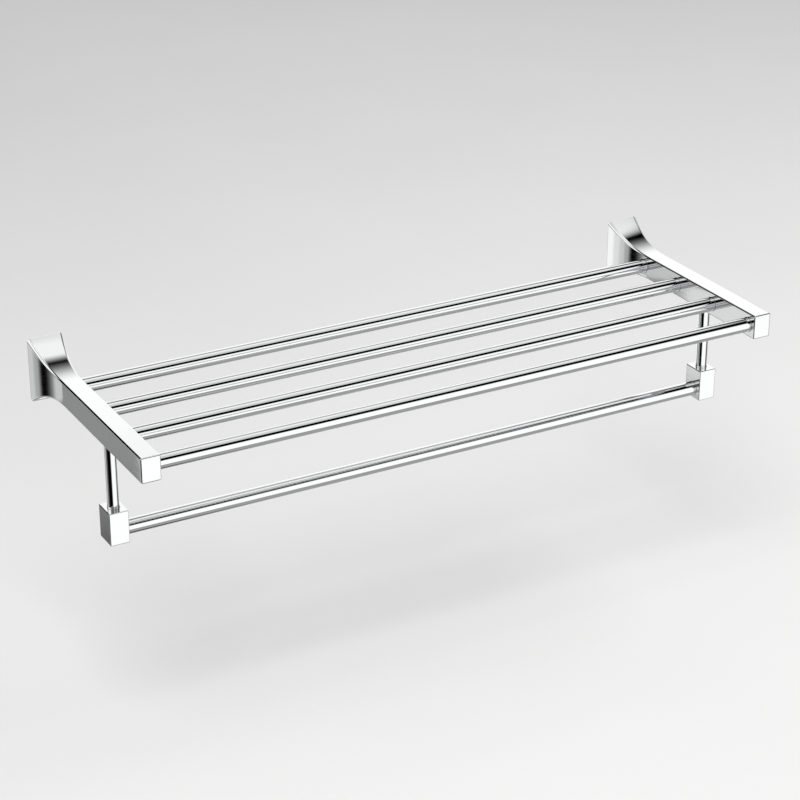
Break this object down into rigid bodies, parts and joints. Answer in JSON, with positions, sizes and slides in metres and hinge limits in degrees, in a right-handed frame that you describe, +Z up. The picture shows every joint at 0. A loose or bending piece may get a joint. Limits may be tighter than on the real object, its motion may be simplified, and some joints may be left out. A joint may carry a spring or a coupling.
{
  "type": "towel rack",
  "caption": "Wall-mounted bathroom towel rack: chrome arms with flared wall flanges, a shelf of round tubes, and a towel bar hanging below it on posts with square end blocks.",
  "frame": {"origin": "on the wall plane, midway between the two arms, at the middle height of the arms and flanges", "axes": "+X along the tubes to the right as seen from the room, +Y into the wall, +Z up; the rack stands off the wall towards -Y"},
  "size_m": [0.6148, 0.2393, 0.1293],
  "materials": {
    "chrome_casting": "polished chrome plate on a die casting",
    "chrome_tube": "polished chrome plate on drawn tube and turned rod",
    "grub_screw": "dark hardened steel",
    "wall_plate": "zinc-plated pressed steel",
    "wall_screw": "bright stainless steel"
  },
  "bodies": {
    "root": {"arm_left": "chrome_casting", "arm_right": "chrome_casting", "bar_block_left": "chrome_casting", "bar_block_right": "chrome_casting", "shelf_tube_1": "chrome_tube", "shelf_tube_2": "chrome_tube", "shelf_tube_3": "chrome_tube", "shelf_tube_4": "chrome_tube", "towel_bar": "chrome_tube", "post_left": "chrome_tube", "post_right": "chrome_tube", "tube_screw_left_1": "grub_screw", "tube_screw_left_2": "grub_screw", "tube_screw_left_3": "grub_screw", "tube_screw_left_4": "grub_screw", "flange_screw_left": "grub_screw", "bar_screw_left": "grub_screw", "post_screw_left": "grub_screw", "wall_plate_left": "wall_plate", "wall_screw_left_upper": "wall_screw", "wall_screw_left_lower": "wall_screw", "tube_screw_right_1": "grub_screw", "tube_screw_right_2": "grub_screw", "tube_screw_right_3": "grub_screw", "tube_screw_right_4": "grub_screw", "flange_screw_right": "grub_screw", "bar_screw_right": "grub_screw", "post_screw_right": "grub_screw", "wall_plate_right": "wall_plate", "wall_screw_right_upper": "wall_screw", "wall_screw_right_lower": "wall_screw"}
  },
  "joints": []
}
